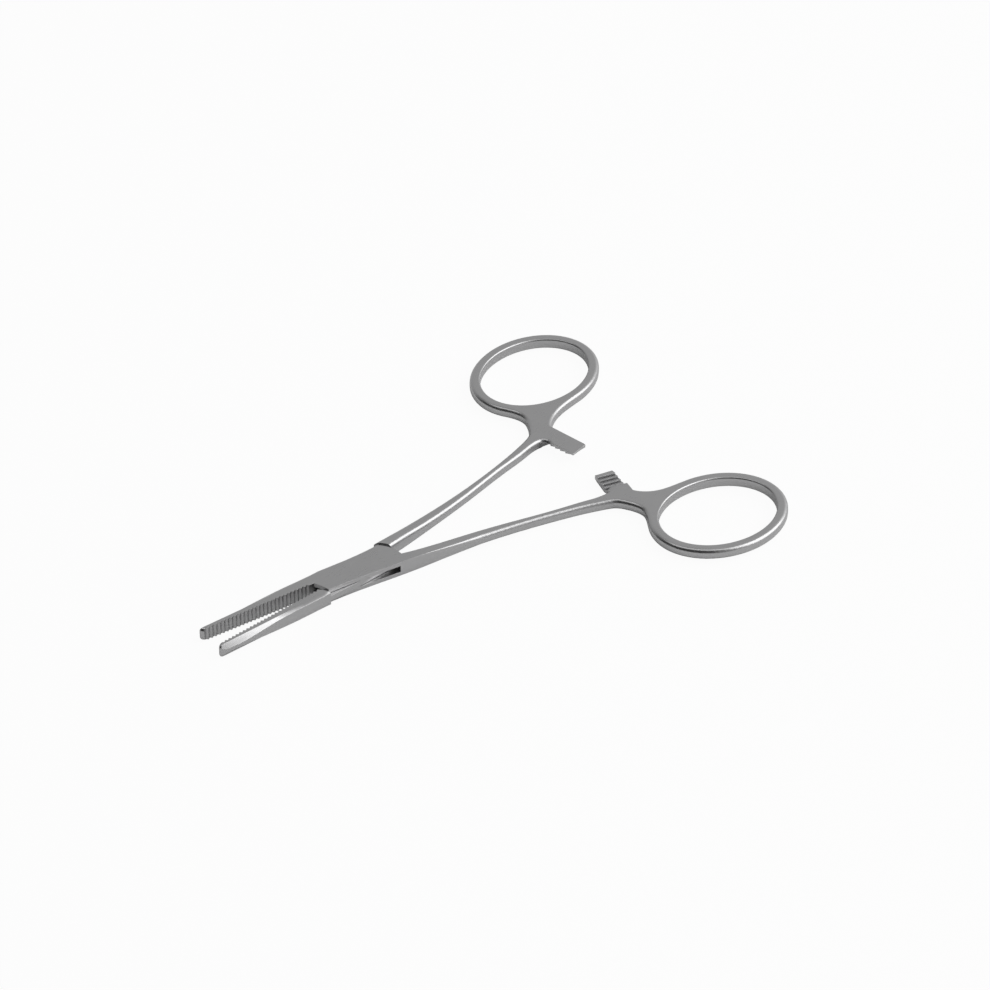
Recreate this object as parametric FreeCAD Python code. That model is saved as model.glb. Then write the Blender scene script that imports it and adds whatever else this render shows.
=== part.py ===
import FreeCAD, Part
import math
import os

# Straight box-joint artery forceps, 125 mm long, in millimetres.
# The forceps lies flat and part open, jaws towards -X, finger rings towards +X.
# The origin sits on the joint pin's axis at the underside of the box joint.
# Each half is drawn in its own closed position, with the long axis of the
# closed forceps along X and the middle of its thickness at Z = 0.
# The drawn half has its jaw on the +Y side and its shank on the -Y side.

# Opening of the two halves as it lies
OPENING_DEG = 8.4

# Thickness, as half heights either side of the middle
BOX_HALF = 1.70
JAW_TIP_HALF = 1.52
SHANK_START_HALF = 1.44
SHANK_HALF = 1.22

# Box joint: the plates end in slanting curves, each given by how far its
# inner and outer corner lie from the pin along X and by how much it bulges
BOX_FLAT_END = 11.0
REAR_INNER_X = 9.50
REAR_OUTER_X = 6.90
REAR_BULGE = 0.50
FRONT_INNER_X = 10.50
FRONT_OUTER_X = 9.10
FRONT_BULGE = -0.15
REAR_GAP = 0.45
FRONT_GAP = 0.45
FRONT_RELIEF = 0.60
FRONT_HOLLOW = 0.28
SLOT_R = 8.70
SLOT_HALF = 0.76
TONGUE_SIDE_GAP = 0.08
TONGUE_END_GAP = 0.16
TONGUE_INSET = 0.36
TONGUE_JAW_SIDE = 2.95
PLATE_WIDTH_JAW = 3.12
PLATE_WIDTH_REAR = 3.75
PLATE_WIDTH_SHANK = 3.15
SHANK_ROOT_WIDTH = 3.80
CROTCH_Y = 0.78

# Joint pin, riveted and ground flush
PIN_R = 1.30
PIN_HEAD_R = 1.62
PIN_HEAD_DEPTH = 0.42
PIN_RUNNING_FIT = 0.03

# Jaw
JAW_TIP_X = -37.20
JAW_ROOT_X = -10.60
JAW_MID_X = -23.50
JAW_ROOT_Y = 0.24
JAW_TIP_Y = 0.02
JAW_TIP_ROUND = 1.65
JAW_TIP_WIDTH = 1.55
JAW_TIP_CORNER = 0.50
TIP_END_Y = 0.65
TOOTH_PITCH = 0.92
TOOTH_DEPTH = 0.40
TOOTH_COUNT = 27
TOOTH_FIRST_X = -36.55

# Ground shoulder along a jaw's outer edge: at each X how wide the band is and
# how far it drops across its full width; past the joint it runs out sideways
SHOULDER_X = [-38.6, -34.0, -30.0, -26.0, -22.0, -14.0, -6.0]
SHOULDER_WIDTH = [0.70, 0.70, 0.70, 0.70, 0.70, 0.70, -0.30]
SHOULDER_FULL = 0.70
SHOULDER_DROP = [1.20, 1.05, 0.86, 0.63, 0.40, 0.30, 0.25]

# Shank: distances of its inner and outer edge from the closed centre line
SHANK_X = [13.0, 18.0, 27.0, 36.0, 45.0, 52.3]
SHANK_INNER = [1.25, 1.70, 2.62, 4.03, 5.60, 6.66]
SHANK_OUTER = [3.95, 4.33, 5.12, 6.12, 7.55, 9.15]

# Ratchet arm
RATCHET_X0 = 57.9
RATCHET_X1 = 61.95
RATCHET_LEAN = 1.15
RATCHET_ROOT_Y = 7.10
RATCHET_PLANE = 0.20
RATCHET_TEETH = 5
RATCHET_PITCH = 1.30
RATCHET_TOOTH_DEPTH = 0.38
RATCHET_CREST_GAP = 0.05
RATCHET_SLANT_DEG = -10.0
RATCHET_TIP_BEVEL = 1.10
RATCHET_TIP_DROP = 0.45

# Finger ring, an ellipse along its bar's middle
RING_X = 72.60
RING_Y = 25.72
RING_A = 14.35
RING_B = 11.54
RING_BAR = 2.30
RING_JOIN_IN_DEG = 88.0
RING_JOIN_OUT_DEG = 160.0

# Neck between ring and shank: its waist on the inner side and its bend on
# the outer side, as X and distance from the closed centre line
NECK_IN_X = 64.7
NECK_IN_Y = 11.3
NECK_OUT_X = 59.8
NECK_OUT_Y = 15.3
NECK_FOOT_X = 57.9
NECK_FOOT_Y = 11.85

# Edge roundings; on the slotted half the outer one fades in past the box
OUTER_ROUND = 0.90
INNER_ROUND = 0.85
RING_ROUND = 0.42

# What differs between the two halves, which are finished by hand:
# widths of the jaw at its middle and root, sideways bow of the shank and
# of its root, how far the ring sits outwards and is turned, the ratchet
# tip's place past the middle, and the land behind the last ratchet tooth
FEMALE = {
    "jaw_mid": 2.25,
    "jaw_root": 3.05,
    "bow": 0.17,
    "root_bow": 0.13,
    "ring_out": -0.55,
    "ring_tilt": -0.5,
    "tip": 0.40,
    "land": 0.20,
}
MALE = {
    "jaw_mid": 2.10,
    "jaw_root": 2.65,
    "bow": -0.17,
    "root_bow": -0.13,
    "ring_out": 0.55,
    "ring_tilt": -5.0,
    "tip": 0.80,
    "land": 0.90,
}

HEIGHT = 2.0 * BOX_HALF
TONGUE_R = SLOT_R - TONGUE_END_GAP
TONGUE_HALF = SLOT_HALF - TONGUE_SIDE_GAP
UP = FreeCAD.Vector(0, 0, 1)


def vec(x, y, z=0.0):
    """Point or direction from its coordinates."""
    return FreeCAD.Vector(x, y, z)


def spline(points, start_dir=None, end_dir=None):
    """Smooth curve through points, with end directions where given."""
    curve = Part.BSplineCurve()
    if start_dir is None:
        curve.interpolate(points)
    else:
        first = vec(*start_dir)
        last = vec(*end_dir)
        curve.interpolate(Points=points, InitialTangent=first, FinalTangent=last)
    return curve.toShape()


def line(a, b):
    """Straight edge between two points."""
    return Part.LineSegment(a, b).toShape()


def arc(a, mid, b):
    """Circular edge through three points."""
    return Part.Arc(a, mid, b).toShape()


def on_circle(radius, y, side):
    """Point of a circle about the pin at a given y, on the -X or +X side."""
    return vec(side * math.sqrt(radius * radius - y * y), y)


def slant_arc(inner, outer, bulge):
    """Arc from an inner to an outer corner of the box, bulging from the pin."""
    middle = (inner + outer) * 0.5
    across = (outer - inner).normalize()
    away = vec(across.y, -across.x)
    if away.x * middle.x < 0:
        away = -away
    return arc(inner, middle + away * bulge, outer)


def rear_end(side, gap):
    """Rear end of the box from its crotch corner out, on the side side * Y."""
    inner = vec(REAR_INNER_X + gap, -side * CROTCH_Y)
    outer = vec(REAR_OUTER_X + gap, side * PLATE_WIDTH_REAR)
    return slant_arc(inner, outer, REAR_BULGE)


def ring_frame(build):
    """Centre and long direction of a ring's ellipse."""
    tilt = math.radians(build["ring_tilt"])
    return vec(RING_X, -RING_Y - build["ring_out"]), vec(math.cos(tilt), math.sin(tilt))


def ring_ellipse(offset, build):
    """Ring ellipse grown by offset from the middle of its bar."""
    centre, long_dir = ring_frame(build)
    long_end = centre + long_dir * (RING_A + offset)
    short_end = centre + vec(-long_dir.y, long_dir.x) * (RING_B + offset)
    return Part.Ellipse(long_end, short_end, centre)


def shank_points(distances, build, root_bow):
    """Points of one long edge of the shank, moved outwards by its bows."""
    points = []
    for x, y in zip(SHANK_X, distances):
        share = math.sin(math.pi * (x - BOX_FLAT_END) / (RATCHET_X0 - BOX_FLAT_END))
        out = build["bow"] * (0.4 + 0.6 * share)
        if x < SHANK_X[2]:
            out = out + root_bow
        points.append(vec(x, -y - out))
    return points


def jaw_outline(build):
    """Jaw's outer edge from its tip to the box part, and its two end points."""
    tip_low = vec(JAW_TIP_X + JAW_TIP_CORNER, JAW_TIP_Y)
    tip_end = vec(JAW_TIP_X, TIP_END_Y)
    tip_high = vec(JAW_TIP_X + JAW_TIP_ROUND, JAW_TIP_WIDTH)
    jaw_mid = vec(JAW_MID_X, build["jaw_mid"])
    jaw_root = vec(JAW_ROOT_X, build["jaw_root"])
    tip = spline([tip_low, tip_end, tip_high], (-0.8, 0.6, 0), (0.98, 0.12, 0))
    side = spline([tip_high, jaw_mid, jaw_root], (0.98, 0.12, 0), (1, 0.03, 0))
    return [tip, side], tip_low, jaw_root


def arm_outline(build, shank_end):
    """Ratchet arm from the shank's inner edge out to the tip and back."""
    root_mid = vec(RATCHET_X0 - 0.42, -RATCHET_ROOT_Y + 0.36)
    arm_up = vec(RATCHET_X0, -RATCHET_ROOT_Y + 1.3)
    tip_left = vec(RATCHET_X0 + RATCHET_LEAN, build["tip"])
    tip_right = vec(RATCHET_X1 + RATCHET_LEAN, build["tip"] - 0.55)
    arm_down = vec(RATCHET_X1, -RATCHET_ROOT_Y - 1.5)
    root = spline([shank_end, root_mid, arm_up], (1, 0, 0), (0, 1, 0))
    edges = [root, line(arm_up, tip_left), line(tip_left, tip_right), line(tip_right, arm_down)]
    return edges, arm_down


def ring_outline(build, arm_down):
    """Neck and outer side of the ring, from the ratchet arm to the shank."""
    outer = ring_ellipse(0.5 * RING_BAR, build)
    inner_join = math.radians(RING_JOIN_IN_DEG)
    outer_join = math.radians(RING_JOIN_OUT_DEG)
    end = outer.value(inner_join)
    end_dir = outer.tangent(inner_join)[0]
    waist = vec(NECK_IN_X, -NECK_IN_Y)
    edges = [spline([arm_down, waist, end], (0.45, -0.9, 0), -end_dir)]
    edges.append(Part.ArcOfEllipse(outer, outer_join - 2 * math.pi, inner_join).toShape())
    start = outer.value(outer_join)
    start_dir = outer.tangent(outer_join)[0]
    high = vec(NECK_OUT_X, -NECK_OUT_Y)
    low = vec(NECK_FOOT_X, -NECK_FOOT_Y)
    shank_end = shank_points(SHANK_OUTER, build, 0.0)[-1]
    edges.append(spline([start, high, low, shank_end], -start_dir, (-1, 0.27, 0)))
    return edges


def half_outline(end_r, build):
    """Closed outline of one half in plan, ring hole left out.

    end_r is the radius of the free ends of the tongue, or None where the box
    plates end in their slanting curves; build holds what differs between the
    halves.
    """
    edges, tip_low, jaw_root = jaw_outline(build)
    if end_r is None:
        rear = rear_end(1, 0.0)
        front_inner = vec(-FRONT_INNER_X, JAW_ROOT_Y)
        front_outer = vec(-FRONT_OUTER_X, -PLATE_WIDTH_SHANK)
        front = slant_arc(front_inner, front_outer, FRONT_BULGE)
    else:
        crotch = on_circle(end_r, -CROTCH_Y, 1)
        far_corner = on_circle(end_r, PLATE_WIDTH_REAR, 1)
        rear = arc(crotch, on_circle(end_r, 1.0, 1), far_corner)
        front_inner = on_circle(end_r, JAW_ROOT_Y, -1)
        front_outer = on_circle(end_r, -PLATE_WIDTH_SHANK, -1)
        front = arc(front_inner, on_circle(end_r, -1.5, -1), front_outer)
    crotch = rear.Vertexes[0].Point
    far_corner = rear.Vertexes[-1].Point
    far_mid = vec(0.0, PLATE_WIDTH_JAW)
    flare = vec(0.45 * far_corner.x, PLATE_WIDTH_JAW + 0.28 * (PLATE_WIDTH_REAR - PLATE_WIDTH_JAW))
    edges.append(spline([jaw_root, far_mid, flare, far_corner], (1, 0.03, 0), (1, 0.20, 0)))
    edges.append(rear)
    arm_start = vec(RATCHET_X0 - 1.6, -RATCHET_ROOT_Y)
    inner = [crotch] + shank_points(SHANK_INNER, build, build["root_bow"]) + [arm_start]
    edges.append(spline(inner, (1, -0.12 - build["root_bow"], 0), (1, 0, 0)))
    arm_edges, arm_down = arm_outline(build, arm_start)
    edges = edges + arm_edges + ring_outline(build, arm_down)
    back = shank_points(SHANK_OUTER, build, 0.0)[::-1]
    back.append(vec(8.0, -SHANK_ROOT_WIDTH))
    back.append(vec(-1.5, -PLATE_WIDTH_SHANK - 0.1))
    back.append(front_outer)
    edges.append(spline(back, (-1, 0.27, 0), (-1, -0.01, 0)))
    edges.append(front)
    edges.append(line(front_inner, tip_low))
    return Part.Wire(Part.__sortEdges__(edges))


def height_profile():
    """Side view of a half's thickness, as a slab across the whole width."""
    right = RING_X + RING_A + 5.0
    left = JAW_TIP_X - 3.0
    flat_start = SHANK_X[-2]
    box_left = vec(-BOX_FLAT_END, 0, BOX_HALF)
    box_right = vec(BOX_FLAT_END, 0, BOX_HALF)
    up = []
    up.append(spline([vec(left, 0, JAW_TIP_HALF), box_left], (1, 0, 0), (1, 0, 0)))
    up.append(line(box_left, box_right))
    taper = [box_right, vec(SHANK_X[1], 0, SHANK_START_HALF)]
    taper.append(vec(flat_start, 0, SHANK_HALF))
    up.append(spline(taper, (1, 0, 0), (1, 0, 0)))
    up.append(line(vec(flat_start, 0, SHANK_HALF), vec(right, 0, SHANK_HALF)))
    down = [edge.mirror(vec(0, 0), UP) for edge in up]
    ends = []
    ends.append(line(vec(left, 0, JAW_TIP_HALF), vec(left, 0, -JAW_TIP_HALF)))
    ends.append(line(vec(right, 0, SHANK_HALF), vec(right, 0, -SHANK_HALF)))
    wire = Part.Wire(Part.__sortEdges__(up + down + ends))
    face = Part.Face(wire)
    reach = RING_Y + RING_B + RING_BAR + 5.0
    face.translate(vec(0, -reach, 0))
    return face.extrude(vec(0, 2 * reach, 0))


def forged_half(end_r, build):
    """One half at full thickness with its ring hole, edges still sharp."""
    face = Part.Face(half_outline(end_r, build))
    face.translate(vec(0, 0, -HEIGHT))
    blank = face.extrude(vec(0, 0, 2 * HEIGHT))
    hole_line = ring_ellipse(-0.5 * RING_BAR, build)
    hole_face = Part.Face(Part.Wire(hole_line.toShape()))
    hole_face.translate(vec(0, 0, -HEIGHT))
    hole = hole_face.extrude(vec(0, 0, 2 * HEIGHT))
    return blank.cut(hole).common(height_profile())


def edges_near(solid, x, y, reach=1.1):
    """Edges of the top and bottom faces whose middle lies near a plan point."""
    found = []
    for edge in solid.Edges:
        mid = edge.CenterOfMass
        box = edge.BoundBox
        flat = box.ZMax - box.ZMin < 0.5 * BOX_HALF
        inside = abs(mid.x - x) < reach and abs(mid.y - y) < reach
        if flat and inside and abs(mid.z) > 0.5 * BOX_HALF:
            found.append(edge)
    return found


def sharp_space(side):
    """Space within which the outer edge stays sharp, above for side +1.

    Its slanting face lies across the edge, clear of it by the box and deeper
    than the rounding at the third shank station, where it ends.
    """
    across = vec(0, 6, 6 * side)
    start = vec(SHANK_X[0], -SHANK_OUTER[0] - 0.1, side * BOX_HALF)
    end_z = SHANK_HALF - 0.85 * OUTER_ROUND
    end = vec(SHANK_X[2], -SHANK_OUTER[2], side * end_z)
    far = start + (start - end) * 3.0
    points = [end - across, end + across, far + across, far - across, end - across]
    return Part.Face(Part.makePolygon(points)).extrude(vec(0, 12, -12 * side))


def rounded_half(end_r, build):
    """One half with the long edges of ring, shank and neck rounded."""
    sharp = forged_half(end_r, build).Solids[0]
    centre = ring_frame(build)[0]
    shank_x = 0.5 * (BOX_FLAT_END + SHANK_X[-2])
    inner_y = -SHANK_INNER[2]
    outer_y = -SHANK_OUTER[2]
    solid = sharp.makeFillet(OUTER_ROUND, edges_near(sharp, shank_x, outer_y)).Solids[0]
    if end_r is None:
        taken = sharp.cut(solid)
        for side in (1, -1):
            taken = taken.cut(sharp_space(side))
        solid = sharp.cut(taken).Solids[0]
    solid = solid.makeFillet(RING_ROUND, edges_near(solid, centre.x, centre.y)).Solids[0]
    solid = solid.makeFillet(INNER_ROUND, edges_near(solid, shank_x, inner_y)).Solids[0]
    for side in (1, -1):
        solid = solid.cut(jaw_shoulder(build, side))
    return solid


def jaw_teeth(offset):
    """Cross serrations of a jaw, as the material to take off its inner face."""
    slope = (JAW_ROOT_Y - JAW_TIP_Y) / (-FRONT_INNER_X - JAW_TIP_X)
    points = []
    for i in range(TOOTH_COUNT):
        x = TOOTH_FIRST_X + (i + offset) * TOOTH_PITCH
        for step, rise in ((0.0, 0.0), (0.5, TOOTH_DEPTH)):
            px = x + step * TOOTH_PITCH
            points.append(vec(px, JAW_TIP_Y + slope * (px - JAW_TIP_X) + rise, -HEIGHT))
    last = TOOTH_FIRST_X + (TOOTH_COUNT + offset) * TOOTH_PITCH
    points.append(vec(last, JAW_TIP_Y + slope * (last - JAW_TIP_X), -HEIGHT))
    points.append(vec(last, -2.0, -HEIGHT))
    points.append(vec(points[0].x, -2.0, -HEIGHT))
    points.append(points[0])
    return Part.Face(Part.makePolygon(points)).extrude(vec(0, 0, 2 * HEIGHT))


def jaw_side_y(build, x):
    """How far a jaw's outer edge lies from the closed centre line at x."""
    tip_x = JAW_TIP_X + JAW_TIP_ROUND
    if x < JAW_MID_X:
        share = (x - tip_x) / (JAW_MID_X - tip_x)
        return JAW_TIP_WIDTH + share * (build["jaw_mid"] - JAW_TIP_WIDTH)
    share = (x - JAW_MID_X) / (JAW_ROOT_X - JAW_MID_X)
    return build["jaw_mid"] + share * (build["jaw_root"] - build["jaw_mid"])


def jaw_shoulder(build, side):
    """Material above the ground shoulder of a jaw, on top for side +1."""
    sections = []
    for x, width, drop in zip(SHOULDER_X, SHOULDER_WIDTH, SHOULDER_DROP):
        share = min(1.0, (x - SHOULDER_X[0]) / (-BOX_FLAT_END - SHOULDER_X[0]))
        rise = share * share * (3.0 - 2.0 * share)
        top = JAW_TIP_HALF + rise * (BOX_HALF - JAW_TIP_HALF)
        y = jaw_side_y(build, x) - width
        inner = vec(x, y - 0.5 * SHOULDER_FULL, side * (top + 0.5 * drop))
        outer = vec(x, y + 2.0 * SHOULDER_FULL, side * (top - 2.0 * drop))
        high = vec(x, y + 2.0 * SHOULDER_FULL, side * (top + HEIGHT))
        sections.append(Part.makePolygon([inner, outer, high, inner]))
    return Part.makeLoft(sections, True, False)


def ratchet_cut(build, side):
    """Material taken off a ratchet arm; side +1 leaves teeth facing up.

    Each tooth ramps up from the arm's tip and drops off towards its root, so
    that the two arms slide together and hook.
    """
    crest = RATCHET_PLANE - side * 0.5 * RATCHET_CREST_GAP
    valley = crest - side * RATCHET_TOOTH_DEPTH
    points = [vec(0, 1.5, side * HEIGHT), vec(0, 1.5, valley), vec(0, 0, valley)]
    for i in range(RATCHET_TEETH):
        end = -(i + 1) * RATCHET_PITCH
        points.append(vec(0, end, crest))
        points.append(vec(0, end, valley))
    root = -RATCHET_TEETH * RATCHET_PITCH - build["land"]
    points.append(vec(0, root, valley))
    points.append(vec(0, root, side * HEIGHT))
    points.append(points[0])
    reach = 0.5 * (RATCHET_X1 - RATCHET_X0) + 2.0
    cut = Part.Face(Part.makePolygon(points)).extrude(vec(2 * reach, 0, 0))
    cut.translate(vec(-reach, 0, 0))
    back = [vec(0, -RATCHET_TIP_BEVEL, -side * SHANK_HALF)]
    back.append(vec(0, 1.5, -side * (SHANK_HALF - RATCHET_TIP_DROP)))
    back.append(vec(0, 1.5, -side * HEIGHT))
    back.append(vec(0, -RATCHET_TIP_BEVEL, -side * HEIGHT))
    back.append(back[0])
    bevel = Part.Face(Part.makePolygon(back)).extrude(vec(2 * reach, 0, 0))
    bevel.translate(vec(-reach, 0, 0))
    cut = cut.fuse(bevel)
    cut.rotate(vec(0, 0), UP, side * RATCHET_SLANT_DEG)
    cut.translate(vec(0.5 * (RATCHET_X0 + RATCHET_X1) + RATCHET_LEAN, build["tip"] - 0.3, 0))
    return cut


def pin_shape(extra):
    """Riveted pin with coned heads; extra widens it into a running bore."""
    profile = []
    profile.append(vec(0, 0, -BOX_HALF))
    profile.append(vec(PIN_HEAD_R, 0, -BOX_HALF))
    profile.append(vec(PIN_R + extra, 0, -BOX_HALF + PIN_HEAD_DEPTH))
    profile.append(vec(PIN_R + extra, 0, BOX_HALF - PIN_HEAD_DEPTH))
    profile.append(vec(PIN_HEAD_R, 0, BOX_HALF))
    profile.append(vec(0, 0, BOX_HALF))
    profile.append(profile[0])
    return Part.Face(Part.makePolygon(profile)).revolve(vec(0, 0), UP, 360)


def block(x0, x1, y0, y1, half):
    """Block between two X and two Y values, reaching half above and below."""
    return Part.makeBox(x1 - x0, y1 - y0, 2 * half, vec(x0, y0, -half))


def disc(radius, half):
    """Round disc about the pin, reaching half above and below."""
    return Part.makeCylinder(radius, 2 * half, vec(0, 0, -half), UP)


def joint_room(reach):
    """Room that the box plates take up in the tongued half, between shoulders."""
    rear = rear_end(-1, REAR_GAP)
    rear_in = rear.Vertexes[0].Point
    rear_out = rear.Vertexes[-1].Point
    front_in = vec(-FRONT_INNER_X - FRONT_RELIEF, JAW_ROOT_Y)
    front_out = vec(-FRONT_OUTER_X - FRONT_GAP, PLATE_WIDTH_SHANK + 0.15)
    front = slant_arc(front_in, front_out, -FRONT_HOLLOW)
    edges = [rear, line(rear_out, vec(rear_out.x, -reach))]
    edges.append(line(vec(rear_out.x, -reach), vec(front_in.x, -reach)))
    edges.append(line(vec(front_in.x, -reach), front_in))
    edges.append(front)
    edges.append(line(front_out, vec(front_out.x, reach)))
    edges.append(line(vec(front_out.x, reach), vec(rear_in.x, reach)))
    edges.append(line(vec(rear_in.x, reach), rear_in))
    face = Part.Face(Part.Wire(Part.__sortEdges__(edges)))
    face.translate(vec(0, 0, -HEIGHT))
    return face.extrude(vec(0, 0, 2 * HEIGHT))


def female_half():
    """Half with the slotted box, its jaw on +Y and its shank on -Y."""
    body = rounded_half(None, FEMALE)
    reach = FRONT_INNER_X + 1.0
    slot = disc(SLOT_R, SLOT_HALF)
    slot = slot.fuse(block(-FRONT_INNER_X, 0.0, -reach, JAW_ROOT_Y, SLOT_HALF))
    slot = slot.fuse(block(0.0, reach, -CROTCH_Y, reach, SLOT_HALF))
    body = body.cut(slot)
    body = body.cut(jaw_teeth(0.0))
    body = body.cut(ratchet_cut(FEMALE, 1))
    return body.cut(pin_shape(0.0))


def male_half():
    """Half with the tongue, drawn with its jaw on +Y, then mirrored over."""
    body = rounded_half(TONGUE_R, MALE)
    reach = FRONT_INNER_X + 2.0
    tongue_shank = PLATE_WIDTH_SHANK - TONGUE_INSET
    tongue = block(-reach, reach, -tongue_shank, TONGUE_JAW_SIDE, TONGUE_HALF)
    body = body.cut(joint_room(reach).cut(tongue))
    body = body.cut(jaw_teeth(0.5))
    body = body.cut(ratchet_cut(MALE, -1))
    body = body.cut(disc(PIN_R + PIN_RUNNING_FIT, HEIGHT))
    return body.mirror(vec(0, 0), vec(0, 1, 0))


def place(shape, turn_deg):
    """Turn a closed-position shape about the pin and stand it on Z = 0."""
    placed = shape.copy()
    placed.rotate(vec(0, 0), UP, turn_deg)
    placed.translate(vec(0, 0, BOX_HALF))
    return placed


def only_solid(shape):
    """The single solid of a result."""
    return shape.Solids[0]


pieces = {
    "female_half": place(only_solid(female_half()), -0.5 * OPENING_DEG),
    "male_half": place(only_solid(male_half()), 0.5 * OPENING_DEG),
    "pivot_pin": place(only_solid(pin_shape(0.0)), 0.0),
}
os.makedirs("parts", exist_ok=True)
for node, solid in pieces.items():
    solid.exportStep("parts/" + node + ".step")
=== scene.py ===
import logging
import math
from dataclasses import dataclass, field
from enum import Enum
from typing import Any, Protocol, Union

import bmesh
import bpy
import numpy as np
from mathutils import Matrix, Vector


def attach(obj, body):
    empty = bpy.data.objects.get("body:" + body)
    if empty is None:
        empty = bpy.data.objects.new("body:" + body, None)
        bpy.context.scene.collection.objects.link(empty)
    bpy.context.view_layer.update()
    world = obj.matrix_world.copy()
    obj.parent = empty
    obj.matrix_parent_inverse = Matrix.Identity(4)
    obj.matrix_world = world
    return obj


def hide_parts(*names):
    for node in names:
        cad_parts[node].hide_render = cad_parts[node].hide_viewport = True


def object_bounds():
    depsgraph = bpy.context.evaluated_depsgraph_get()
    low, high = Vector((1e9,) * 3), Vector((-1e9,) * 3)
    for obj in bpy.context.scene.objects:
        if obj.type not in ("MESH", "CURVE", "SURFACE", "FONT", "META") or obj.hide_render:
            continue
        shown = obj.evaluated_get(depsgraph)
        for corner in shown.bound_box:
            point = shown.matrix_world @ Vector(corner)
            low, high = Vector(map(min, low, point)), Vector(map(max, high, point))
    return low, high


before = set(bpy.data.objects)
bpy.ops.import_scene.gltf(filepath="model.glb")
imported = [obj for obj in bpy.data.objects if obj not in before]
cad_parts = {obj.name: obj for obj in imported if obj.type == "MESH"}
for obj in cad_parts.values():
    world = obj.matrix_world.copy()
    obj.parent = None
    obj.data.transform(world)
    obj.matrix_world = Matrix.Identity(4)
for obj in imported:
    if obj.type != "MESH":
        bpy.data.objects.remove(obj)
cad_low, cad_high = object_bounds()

# Last roundings, finishes, studio and camera for a straight box-joint artery
# forceps that lies part open on a pale floor. Everything is in metres, in the
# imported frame: the joint pin's axis is Z, the jaws point to -X and the finger
# rings to +X. Only what is ground off a half is given in millimetres.

log = logging.getLogger("forceps")

MM = 0.001

# Side of the photograph, angle between the halves as packed, and height of
# the plane that both halves share as their middle.
FRAME_PIXELS = 990
OPENING = math.radians(8.4)
BOX_MIDDLE = 1.7 * MM

Number = Union[float, "Wire"]


def outward(azimuth: float, elevation: float) -> Vector:
    """Direction from the forceps towards the camera or a lamp.

    It is (sin a cos e, -cos a cos e, sin e).

    Args:
        azimuth: Angle a about Z from -Y, in radians.
        elevation: Angle e above the floor, in radians.

    Returns:
        The unit vector.
    """
    level = math.cos(elevation)
    return Vector(
        (math.sin(azimuth) * level, -math.cos(azimuth) * level, math.sin(elevation))
    )


class Lay(Enum):
    """Which way the grinding marks of a finish run on a piece."""

    LENGTHWISE = "along the piece"
    EVEN = "no one way"


class Bench:
    """Builds the nodes of one tree."""

    def __init__(self, tree: bpy.types.NodeTree) -> None:
        """Empties a tree and keeps it.

        Args:
            tree: Node tree of a material or the world.
        """
        self.tree = tree
        tree.nodes.clear()

    def make(
        self, kind: str, settings: dict[str, Any], inputs: dict[Any, Any]
    ) -> bpy.types.Node:
        """Adds one node.

        Args:
            kind: Blender's type name of the node.
            settings: Properties set first.
            inputs: Value, socket or wire for each input, by name or number.

        Returns:
            The new node.
        """
        node = self.tree.nodes.new(kind)
        for name, value in settings.items():
            setattr(node, name, value)
        for key, value in inputs.items():
            if isinstance(value, Wire):
                value = value.socket
            if isinstance(value, bpy.types.NodeSocket):
                self.tree.links.new(value, node.inputs[key])
            else:
                node.inputs[key].default_value = value
        return node

    def wire(
        self,
        kind: str,
        settings: dict[str, Any],
        inputs: dict[Any, Any],
        output: Any = 0,
    ) -> "Wire":
        """Adds one node and wraps one of its outputs.

        Args:
            kind: Blender's type name of the node.
            settings: Properties set first.
            inputs: Value, socket or wire for each input.
            output: Name or number of the output.

        Returns:
            The wrapped output.
        """
        return Wire(self, self.make(kind, settings, inputs).outputs[output])


class Wire:
    """A socket in an expression; an operator adds the Math node it names."""

    def __init__(self, bench: Bench, socket: bpy.types.NodeSocket) -> None:
        """Wraps an output socket.

        Args:
            bench: Bench of the socket's tree.
            socket: The output.
        """
        self.bench = bench
        self.socket = socket

    def _math(self, operation: str, *values: Number) -> "Wire":
        """Adds a Math node over two values."""
        inputs = dict(enumerate(values))
        return self.bench.wire("ShaderNodeMath", {"operation": operation}, inputs)

    def __add__(self, other: Number) -> "Wire":
        """This value plus another."""
        return self._math("ADD", self, other)

    __radd__ = __add__

    def __sub__(self, other: Number) -> "Wire":
        """This value less another."""
        return self._math("SUBTRACT", self, other)

    def __rsub__(self, other: Number) -> "Wire":
        """Another value less this one."""
        return self._math("SUBTRACT", other, self)

    def __mul__(self, other: Number) -> "Wire":
        """This value times another."""
        return self._math("MULTIPLY", self, other)

    __rmul__ = __mul__

    def span(self, low: float, high: float) -> "Wire":
        """Where this value lies between two others, smoothly from 0 to 1.

        Args:
            low: Value that gives 0.
            high: Value that gives 1.

        Returns:
            The smooth step.
        """
        settings = {"interpolation_type": "SMOOTHSTEP"}
        inputs = {"Value": self, "From Min": low, "From Max": high}
        return self.bench.wire("ShaderNodeMapRange", settings, inputs)


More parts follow.
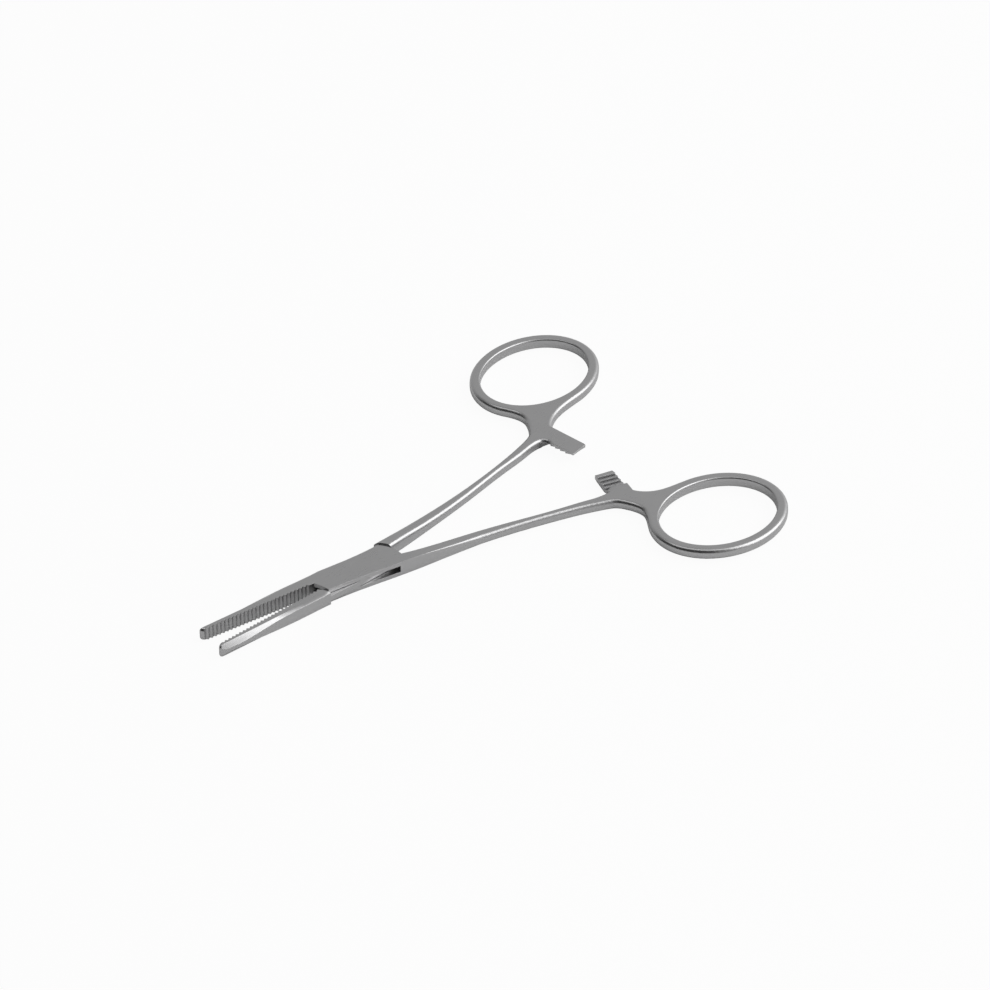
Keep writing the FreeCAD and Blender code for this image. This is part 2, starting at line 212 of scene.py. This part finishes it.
@dataclass(frozen=True)
class SatinSteel:
    """Ground and satin-finished stainless steel.

    The grain is noise drawn out along the piece. A second, coarser noise
    clouds the tone, as a belt leaves it, and grooves and corners get painted
    shade, darker the deeper they lie. With k the grain and c the cloud about 0,
    d the depth in a groove and s the tone kept in the deepest painted shade, the
    tone is tone * (1 + k * grain + c * cloud) * (1 - d * (1 - s)).
    """

    name: str
    tone: float = 0.56
    green_share: float = 0.998
    blue_share: float = 1.005
    cloud: float = 0.05
    cloud_scale: float = 260.0
    cloud_detail: float = 3.0
    cloud_falloff: float = 0.55
    grain: float = 0.10
    grain_across: float = 9000.0
    grain_along: float = 700.0
    grain_detail: float = 2.0
    grain_falloff: float = 0.6
    roughness: float = 0.30
    cloud_roughness: float = 0.10
    grain_roughness: float = 0.12
    bump: float = 0.03
    mark_depth: float = 0.02 * MM
    edge_radius: float = 0.09 * MM
    # Painted shade: the colour is darkened in grooves and corners, which local occlusion
    # finds within the reach below.
    painted_shade_reach: float = 0.7 * MM
    painted_shade_tone: float = 0.22
    painted_shade_span: tuple[float, float] = (0.18, 0.85)
    ray_samples: int = 8

    def material(self, turn: float, lay: Lay) -> bpy.types.Material:
        """Builds the finish.

        Args:
            turn: Angle of the piece's long axis from X, in radians.
            lay: Which way the marks run.

        Returns:
            The material.
        """
        made = bpy.data.materials.new(self.name)
        made.use_nodes = True
        bench = Bench(made.node_tree)
        place = bench.wire("ShaderNodeTexCoord", {}, {}, "Object")
        grain = self._grain(bench, place, turn, lay) - 0.5
        cloud = self._cloud(bench, place) - 0.5
        level = self.tone * (1.0 + grain * self.grain + cloud * self.cloud)
        # Painted shade: the colour is darker in grooves and corners.
        level = level * (1.0 - self._painted_shade(bench) * (1.0 - self.painted_shade_tone))
        colour = bench.wire(
            "ShaderNodeCombineColor",
            {},
            {
                "Red": level,
                "Green": level * self.green_share,
                "Blue": level * self.blue_share,
            },
        )
        rough = (
            self.roughness
            + cloud * self.cloud_roughness
            + grain * self.grain_roughness
        )
        shader = bench.make(
            "ShaderNodeBsdfPrincipled",
            {},
            {
                "Base Color": colour,
                "Metallic": 1.0,
                "Roughness": rough,
                "Normal": self._worn(bench, grain),
            },
        )
        bench.make("ShaderNodeOutputMaterial", {}, {"Surface": shader.outputs[0]})
        return made

    def _grain(self, bench: Bench, place: Wire, turn: float, lay: Lay) -> Wire:
        """Fine marks, as noise that is stretched along the piece.

        Args:
            bench: Bench of the material.
            place: Place on the piece.
            turn: Angle of the piece's long axis from X, in radians.
            lay: Which way the marks run.

        Returns:
            The marks, from 0 to 1.
        """
        turned = bench.wire(
            "ShaderNodeMapping",
            {"vector_type": "TEXTURE"},
            {"Vector": place, "Rotation": (0.0, 0.0, turn)},
        )
        along = self.grain_along if lay is Lay.LENGTHWISE else self.grain_across
        drawn = bench.wire(
            "ShaderNodeVectorMath",
            {"operation": "MULTIPLY"},
            {0: turned, 1: (along, self.grain_across, self.grain_across)},
        )
        inputs = {
            "Vector": drawn,
            "Scale": 1.0,
            "Detail": self.grain_detail,
            "Roughness": self.grain_falloff,
        }
        return bench.wire("ShaderNodeTexNoise", {}, inputs, "Fac")

    def _cloud(self, bench: Bench, place: Wire) -> Wire:
        """Coarse noise that clouds the tone.

        Args:
            bench: Bench of the material.
            place: Place on the piece.

        Returns:
            The cloud, from 0 to 1.
        """
        inputs = {
            "Vector": place,
            "Scale": self.cloud_scale,
            "Detail": self.cloud_detail,
            "Roughness": self.cloud_falloff,
        }
        return bench.wire("ShaderNodeTexNoise", {}, inputs, "Fac")

    def _painted_shade(self, bench: Bench) -> Wire:
        """Painted shade: how deep a point sits in a groove or corner, where the colour is
        darkened.

        Args:
            bench: Bench of the material.

        Returns:
            The depth, from 0 to 1.
        """
        open_sky = bench.wire(
            "ShaderNodeAmbientOcclusion",
            {"samples": self.ray_samples, "only_local": True},
            {"Distance": self.painted_shade_reach},
            "AO",
        )
        return (1.0 - open_sky).span(*self.painted_shade_span)

    def _worn(self, bench: Bench, height: Wire) -> Wire:
        """Surface direction, with the marks in it and the edges worn round.

        Args:
            bench: Bench of the material.
            height: The marks.

        Returns:
            The surface direction.
        """
        inputs = {"Strength": self.bump, "Distance": self.mark_depth, "Height": height}
        if self.edge_radius > 0.0:
            worn = {"Radius": self.edge_radius}
            settings = {"samples": self.ray_samples}
            inputs["Normal"] = bench.wire("ShaderNodeBevel", settings, worn)
        return bench.wire("ShaderNodeBump", {}, inputs)


@dataclass(frozen=True)
class PaleFloor:
    """White floor that keeps part of the shadow."""

    name: str = "pale_floor"
    tone: float = 0.90
    shadow_share: float = 0.05
    mirrored_share: float = 0.05

    def material(self) -> bpy.types.Material:
        """Builds the finish.

        Returns:
            The material.
        """
        made = bpy.data.materials.new(self.name)
        made.use_nodes = True
        bench = Bench(made.node_tree)
        tone = (self.tone, self.tone, self.tone, 1.0)
        matt = bench.wire("ShaderNodeBsdfDiffuse", {}, {"Color": tone})
        glow = bench.wire("ShaderNodeEmission", {}, {"Strength": 1.0})
        path = bench.make("ShaderNodeLightPath", {}, {})
        seen = Wire(bench, path.outputs["Is Camera Ray"]) * (1.0 - self.shadow_share)
        mirrored = Wire(bench, path.outputs["Is Glossy Ray"]) * self.mirrored_share
        through = Wire(bench, path.outputs["Is Transmission Ray"])
        share = seen + mirrored + through
        both = bench.wire("ShaderNodeMixShader", {}, {0: share, 1: matt, 2: glow})
        bench.make("ShaderNodeOutputMaterial", {}, {"Surface": both})
        return made


@dataclass
class Grinder:
    """Takes material off a copy of one packed half.

    Cuts are given in millimetres in the half's closed position, with its jaw
    on +Y, its shank on -Y and the middle of its thickness at Z = 0.
    """

    node: str
    turn: float
    mirror: float
    sharp_angle: float = math.radians(26.0)
    weld: float = 0.0002 * MM
    cutters: list[bpy.types.Object] = field(default_factory=list)

    def closed(self) -> np.ndarray:
        """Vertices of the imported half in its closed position.

        Returns:
            Array of points, in millimetres.
        """
        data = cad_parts[self.node].data
        flat = np.empty(len(data.vertices) * 3, np.float32)
        data.vertices.foreach_get("co", flat)
        x, y, z = (flat.reshape(-1, 3) / MM).astype(float).T
        c, s = math.cos(self.turn), math.sin(self.turn)
        across = (c * y - s * x) * self.mirror
        return np.stack([c * x + s * y, across, z - BOX_MIDDLE / MM], axis=-1)

    def facets(self) -> tuple[np.ndarray, np.ndarray]:
        """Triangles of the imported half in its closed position.

        Returns:
            Array of triangles, corners and coordinates, in millimetres, and
            array of the directions that they face, as unit vectors.
        """
        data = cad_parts[self.node].data
        index = np.empty(len(data.loops), np.int32)
        data.loops.foreach_get("vertex_index", index)
        corners = self.closed()[index].reshape(-1, 3, 3)
        first, second, third = np.moveaxis(corners, 1, 0)
        facing = np.cross(second - first, third - first) * self.mirror
        length = np.linalg.norm(facing, axis=1, keepdims=True)
        return corners, facing / np.maximum(length, np.finfo(float).tiny)

    def placed(self, points: np.ndarray) -> np.ndarray:
        """Points of the closed position where the half lies.

        Args:
            points: Array whose last axis holds x, y and z in millimetres.

        Returns:
            The same points in the frame, in metres.
        """
        x, y, z = np.moveaxis(points, -1, 0)
        y = y * self.mirror
        c, s = math.cos(self.turn), math.sin(self.turn)
        turned = [c * x - s * y, s * x + c * y, z + BOX_MIDDLE / MM]
        return np.stack(turned, axis=-1) * MM

    def take(self, name: str, loops: np.ndarray) -> None:
        """Adds a cut: the solid through a row of closed loops.

        Args:
            name: Name of the cutter.
            loops: Array of loops, points and coordinates, in millimetres.
        """
        rows, count = loops.shape[:2]
        index = np.arange(rows * count).reshape(rows, count)
        here, beside = index, np.roll(index, -1, axis=1)
        quads = np.stack([here[:-1], beside[:-1], beside[1:], here[1:]], axis=-1)
        faces = quads.reshape(-1, 4).tolist() + [index[0].tolist(), index[-1].tolist()]
        mesh = bpy.data.meshes.new(name)
        mesh.from_pydata(self.placed(loops).reshape(-1, 3).tolist(), [], faces)
        form = bmesh.new()
        form.from_mesh(mesh)
        bmesh.ops.recalc_face_normals(form, faces=form.faces)
        form.to_mesh(mesh)
        form.free()
        cutter = bpy.data.objects.new(name, mesh)
        bpy.context.scene.collection.objects.link(cutter)
        self.cutters.append(cutter)

    def finish(self, name: str) -> bpy.types.Object:
        """Cuts the copy and takes the cutters away.

        Args:
            name: Name of the ground piece.

        Returns:
            The new piece, which isn't on a body yet.
        """
        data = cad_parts[self.node].data.copy()
        form = bmesh.new()
        form.from_mesh(data)
        bmesh.ops.remove_doubles(form, verts=form.verts, dist=self.weld)
        form.to_mesh(data)
        form.free()
        rough = bpy.data.objects.new(name + "_rough", data)
        bpy.context.scene.collection.objects.link(rough)
        for cutter in self.cutters:
            cut = rough.modifiers.new(cutter.name, "BOOLEAN")
            cut.operation = "DIFFERENCE"
            cut.solver = "EXACT"
            cut.object = cutter
        graph = bpy.context.evaluated_depsgraph_get()
        mesh = bpy.data.meshes.new_from_object(rough.evaluated_get(graph))
        if "custom_normal" in mesh.attributes:
            mesh.attributes.remove(mesh.attributes["custom_normal"])
        for spent in [rough] + self.cutters:
            bpy.data.objects.remove(spent)
        self.cutters = []
        mesh.shade_smooth()
        mesh.set_sharp_from_angle(angle=self.sharp_angle)
        piece = bpy.data.objects.new(name, mesh)
        bpy.context.scene.collection.objects.link(piece)
        even = piece.modifiers.new("even_shading", "WEIGHTED_NORMAL")
        even.keep_sharp = True
        return piece


class Cut(Protocol):
    """Something that is ground off a half, with its sizes in millimetres."""

    def add(self, grinder: Grinder) -> None:
        """Adds the cut to the grinder's list."""


@dataclass(frozen=True)
class TipRounding:
    """Rounds a jaw's tip over, as a ball rolled along its outline would.

    At a distance s inside the outline, with R the radius and T the top, the
    tip is left up to z = T - R + sqrt(R^2 - (R - s)^2). The outline is the
    packed jaw's own: how far it reaches in each direction of a fan. Directions
    whose sideways part is over side_limit count as further off, so that the
    rounding ends at the jaw's sides. The cut covers the jaw from before its
    tip to a tail short of the reach, and between two sides. Past the rounding
    it stays above the top, and it is closed by a flat roof.
    """

    radius: float = 0.85
    top: float = 1.53
    reach: float = 3.2
    before: float = 0.4
    tail: float = 0.2
    sides: tuple[float, float] = (-0.6, 2.6)
    side_limit: float = 0.86
    side_push: float = 30.0
    above: float = 0.05
    roof: float = 3.0
    directions: int = 37
    steps: int = 60

    def add(self, grinder: Grinder) -> None:
        """Adds the cut on the upper and the lower side.

        Args:
            grinder: Grinder of the half.
        """
        points = grinder.closed()
        end = points[:, 0].min()
        near = points[points[:, 0] < end + self.reach]
        angle = np.linspace(0.5 * math.pi, 1.5 * math.pi, self.directions)
        facing = np.stack([np.cos(angle), np.sin(angle)])
        furthest = (near[:, :2] @ facing).max(axis=0)
        x = np.linspace(end - self.before, end + self.reach - self.tail, self.steps)
        y = np.linspace(*self.sides, self.steps)
        across_x, across_y = np.meshgrid(x, y, indexing="ij")
        spots = np.stack([across_x, across_y], axis=-1)
        sideways = np.clip(np.abs(facing[1]) - self.side_limit, 0.0, None)
        pushed = furthest + sideways * self.side_push
        inside = (pushed - spots @ facing).min(axis=-1)
        short = np.clip(self.radius - inside, 0.0, self.radius)
        left = self.top - self.radius + np.sqrt(self.radius**2 - short**2)
        left = np.where(inside >= self.radius, self.top + self.above, left)
        roof = np.full_like(left, self.roof)
        for up in (1.0, -1.0):
            low = np.stack([across_x, across_y, up * left], axis=-1)
            high = np.stack([across_x, across_y, up * roof], axis=-1)
            loops = np.concatenate([low, high[:, ::-1]], axis=1)
            grinder.take("tip_cut", loops)


@dataclass(frozen=True)
class ShankFade:
    """Fades the outer rounding of the slotted half's shank in past the box.

    With g from 0 at the start to 1 at the end, the radius is
    first_radius + radius * g^power. Each loop is the quarter arc of that
    radius inside the shank's outer edge, closed by three corners outside it.
    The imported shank's upper outer edge is read from lead before the start to
    the end; the lower edge mirrors it.
    """

    start: float = 12.0
    end: float = 27.03
    first_radius: float = 0.02
    radius: float = 0.90
    power: float = 1.3
    margin: float = 0.5
    stations: int = 60
    arc_points: int = 12
    lead: float = 1.5
    edge_above: float = 1.0
    squareness: float = 0.9
    digits: int = 4

    def add(self, grinder: Grinder) -> None:
        """Adds the cut on the upper and the lower side.

        Args:
            grinder: Grinder of the half.
        """
        edge_x, edge_y, edge_z = self._edge(grinder)
        along = np.linspace(self.start, self.end, self.stations)
        side = np.interp(along, edge_x, edge_y)[:, None]
        top = np.interp(along, edge_x, edge_z)[:, None]
        grown = (along - self.start) / (self.end - self.start)
        radius = (self.first_radius + self.radius * grown**self.power)[:, None]
        angle = np.linspace(0.5 * math.pi, 0.0, self.arc_points)[None, :]
        margin = np.full_like(radius, self.margin)
        arc_out = radius * (np.cos(angle) - 1.0)
        arc_rise = radius * (np.sin(angle) - 1.0)
        out = np.concatenate([arc_out, margin, margin, -radius], axis=1)
        rise = np.concatenate([arc_rise, -radius, margin, margin], axis=1)
        level = np.broadcast_to(along[:, None], out.shape)
        for up in (1.0, -1.0):
            loops = np.stack([level, side - out, up * (top + rise)], axis=-1)
            grinder.take("shank_cut", loops)

    def _edge(self, grinder: Grinder) -> np.ndarray:
        """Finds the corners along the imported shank's upper outer edge.

        A corner is on the edge where a facet that faces out, on -Y, meets one
        that faces up, over the height edge_above.

        Args:
            grinder: Grinder of the half.

        Returns:
            The x, y and z of the edge, in the order of x.
        """
        corners, facing = grinder.facets()
        places = np.round(corners.reshape(-1, 3), self.digits)
        places, index = np.unique(places, axis=0, return_inverse=True)
        faces_out = np.repeat(-facing[:, 1] > self.squareness, 3)
        faces_up = np.repeat(facing[:, 2] > self.squareness, 3)
        edge = np.bincount(index.ravel(), faces_out) > 0
        edge &= np.bincount(index.ravel(), faces_up) > 0
        edge &= (places[:, 0] > self.start - self.lead) & (places[:, 0] < self.end)
        edge &= places[:, 2] > self.edge_above
        return places[edge].T


@dataclass(frozen=True)
class RatchetRelief:
    """Clears the thin wall beside the last ratchet tooth, under the arm.

    The plan leaves the shank's inner wall at a slant, runs behind the wall to
    the tooth and comes back outside the arm.
    """

    plan: tuple[tuple[float, float], ...] = (
        (56.4, -7.08),
        (57.83, -7.58),
        (58.55, -7.45),
        (58.0, -4.6),
        (56.4, -4.6),
    )
    levels: tuple[float, float] = (-3.0, 0.60)

    def add(self, grinder: Grinder) -> None:
        """Adds the cut, straight up from below the arm.

        Args:
            grinder: Grinder of the half.
        """
        plan = np.array(self.plan)
        loops = np.empty((len(self.levels), len(plan), 3))
        loops[..., :2] = plan
        loops[..., 2] = np.array(self.levels)[:, None]
        grinder.take("root_cut", loops)


@dataclass
class ForcepsHalf:
    """One forged half of the forceps: jaw, box part, shank, ratchet and ring.

    It lies turned about the pin by turn, and mirror is -1 for the half that is
    the other way round across X.
    """

    node: str
    body: str
    turn: float
    mirror: float
    finish: SatinSteel
    cuts: tuple[Cut, ...]

    def dress(self) -> bpy.types.Object:
        """Grinds the half's last roundings and puts the finish on.

        Returns:
            The ground piece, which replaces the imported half.
        """
        grinder = Grinder(self.node, self.turn, self.mirror)
        for cut in self.cuts:
            cut.add(grinder)
        piece = grinder.finish(self.node + "_ground")
        piece.data.materials.clear()
        piece.data.materials.append(self.finish.material(self.turn, Lay.LENGTHWISE))
        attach(piece, self.body)
        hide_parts(self.node)
        return piece


@dataclass
class JointPin:
    """The riveted pin, ground flush with the plates."""

    node: str
    finish: SatinSteel

    def dress(self) -> bpy.types.Object:
        """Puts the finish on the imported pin.

        Returns:
            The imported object.
        """
        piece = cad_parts[self.node]
        steel = self.finish.material(0.0, Lay.EVEN)
        for holder in piece.material_slots:
            holder.material = steel
        return piece


@dataclass
class PhotoCamera:
    """Camera that sees the forceps as the photograph does.

    It looks along a fixed direction, and its place follows from the pixel at
    which the middle of the pin is seen.
    """

    azimuth: float = -0.65749
    elevation: float = 0.65970
    focal_pixels: float = 4400.0
    distance: float = 901.82 * MM
    pin_pixel: tuple[float, float] = (358.56, 572.54)
    centre_pixel: float = 0.5 * FRAME_PIXELS
    sensor: float = 36.0
    nearest: float = 0.05
    furthest: float = 20.0

    def build(self) -> bpy.types.Object:
        """Makes the scene's camera.

        Returns:
            The camera object.
        """
        back = outward(self.azimuth, self.elevation)
        right = (-back).cross(Vector((0.0, 0.0, 1.0))).normalized()
        down = (-back).cross(right)
        across = (self.pin_pixel[0] - self.centre_pixel) / self.focal_pixels
        below = (self.pin_pixel[1] - self.centre_pixel) / self.focal_pixels
        lens = bpy.data.cameras.new("photo_camera")
        lens.sensor_width = self.sensor
        lens.lens = self.focal_pixels / FRAME_PIXELS * self.sensor
        lens.clip_start = self.nearest
        lens.clip_end = self.furthest
        holder = bpy.data.objects.new("photo_camera", lens)
        bpy.context.scene.collection.objects.link(holder)
        shift = right * across + down * below - back
        holder.location = Vector((0.0, 0.0, BOX_MIDDLE)) - shift * self.distance
        holder.rotation_mode = "QUATERNION"
        holder.rotation_quaternion = (-back).to_track_quat("-Z", "Y")
        bpy.context.scene.camera = holder
        return holder


@dataclass
class Lamp:
    """One soft rectangular lamp that faces the forceps.

    Its azimuth counts in degrees from straight behind the camera, round to the
    right of the picture. Glow is the radiance of its face, so that its power
    is glow * pi * area.
    """

    name: str
    azimuth: float
    elevation: float
    distance: float
    size: tuple[float, float]
    glow: float

    def build(self, camera: PhotoCamera, target: Vector) -> bpy.types.Object:
        """Makes the lamp.

        Args:
            camera: Camera that its azimuth counts from.
            target: Point that it faces.

        Returns:
            The lamp object.
        """
        azimuth = camera.azimuth + math.radians(self.azimuth)
        away = outward(azimuth, math.radians(self.elevation))
        light = bpy.data.lights.new(self.name, "AREA")
        light.shape = "RECTANGLE"
        light.size, light.size_y = self.size
        light.energy = self.glow * math.pi * self.size[0] * self.size[1]
        holder = bpy.data.objects.new(self.name, light)
        bpy.context.scene.collection.objects.link(holder)
        holder.location = target + away * self.distance
        holder.rotation_mode = "QUATERNION"
        holder.rotation_quaternion = (-away).to_track_quat("-Z", "Y")
        return holder


@dataclass
class Studio:
    """Pale floor, soft lamps and a room that is bright beyond and to the right.

    With f and r the shares of a direction that point away from the camera and
    to the right of the picture, the room is
    room_dark + room_far * step(f; far_span) + room_right * step(r; right_span).
    """

    camera: PhotoCamera
    floor: PaleFloor = PaleFloor()
    floor_half: float = 3.0
    floor_drop: float = 0.04 * MM
    room_dark: float = 0.05
    room_far: float = 0.52
    far_span: tuple[float, float] = (-0.10, 0.75)
    room_right: float = 0.55
    right_span: tuple[float, float] = (0.0, 0.9)
    lamps: tuple[Lamp, ...] = (
        Lamp("strip_above", 0.0, 88.0, 0.9, (1.3, 0.42), 0.92),
        Lamp("key_right", 92.0, 40.0, 1.0, (1.1, 0.8), 1.5),
    )

    def build(self) -> None:
        """Makes floor, lamps, world and colour settings."""
        self._lay_floor()
        self._paint_room()
        for lamp in self.lamps:
            lamp.build(self.camera, (cad_low + cad_high) / 2.0)
        bpy.context.scene.view_settings.view_transform = "Standard"

    def _lay_floor(self) -> None:
        """Lays one square sheet just under the forceps."""
        side = np.array([-self.floor_half, self.floor_half])
        x, y = np.meshgrid(side, side)
        points = np.stack([x, y, np.full_like(x, -self.floor_drop)], axis=-1)
        sheet = bpy.data.meshes.new("floor")
        sheet.from_pydata(points.reshape(-1, 3).tolist(), [], [(0, 1, 3, 2)])
        floor = bpy.data.objects.new("floor", sheet)
        bpy.context.scene.collection.objects.link(floor)
        sheet.materials.append(self.floor.material())

    def _paint_room(self) -> None:
        """Makes the world: white to the camera, and the room to the steel."""
        world = bpy.data.worlds.new("room")
        bpy.context.scene.world = world
        world.use_nodes = True
        bench = Bench(world.node_tree)
        path = bench.make("ShaderNodeLightPath", {}, {})
        white = Wire(bench, path.outputs["Is Camera Ray"])
        facing = bench.wire("ShaderNodeTexCoord", {}, {}, "Generated")
        c, s = math.cos(self.camera.azimuth), math.sin(self.camera.azimuth)
        beyond = self._share(bench, facing, (-s, c, 0.0))
        right = self._share(bench, facing, (c, s, 0.0))
        room = (
            self.room_dark
            + beyond.span(*self.far_span) * self.room_far
            + right.span(*self.right_span) * self.room_right
        )
        level = room + white * (1.0 - room)
        sky = bench.wire("ShaderNodeBackground", {}, {"Strength": level})
        bench.make("ShaderNodeOutputWorld", {}, {"Surface": sky})

    @staticmethod
    def _share(bench: Bench, facing: Wire, axis: tuple[float, float, float]) -> Wire:
        """Share of a direction that points along an axis."""
        settings = {"operation": "DOT_PRODUCT"}
        return bench.wire("ShaderNodeVectorMath", settings, {0: facing, 1: axis}, "Value")


def main() -> None:
    """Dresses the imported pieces, then makes the studio and the camera."""
    logging.basicConfig(level=logging.INFO, format="%(name)s: %(message)s")
    female_steel = SatinSteel("satin_steel_female")
    male_steel = SatinSteel("satin_steel_male")
    pin_steel = SatinSteel("pin_steel", edge_radius=0.0)
    female_cuts = (TipRounding(), ShankFade())
    male_cuts = (TipRounding(), RatchetRelief())
    half_turn = 0.5 * OPENING
    halves = [
        ForcepsHalf("female_half", "female", -half_turn, 1.0, female_steel, female_cuts),
        ForcepsHalf("male_half", "male", half_turn, -1.0, male_steel, male_cuts),
    ]
    for half in halves:
        piece = half.dress()
        log.info("dressed %s", piece.name)
    pin = JointPin("pivot_pin", pin_steel).dress()
    log.info("dressed %s", pin.name)
    camera = PhotoCamera()
    Studio(camera).build()
    camera.build()


if __name__ == "__main__":
    main()
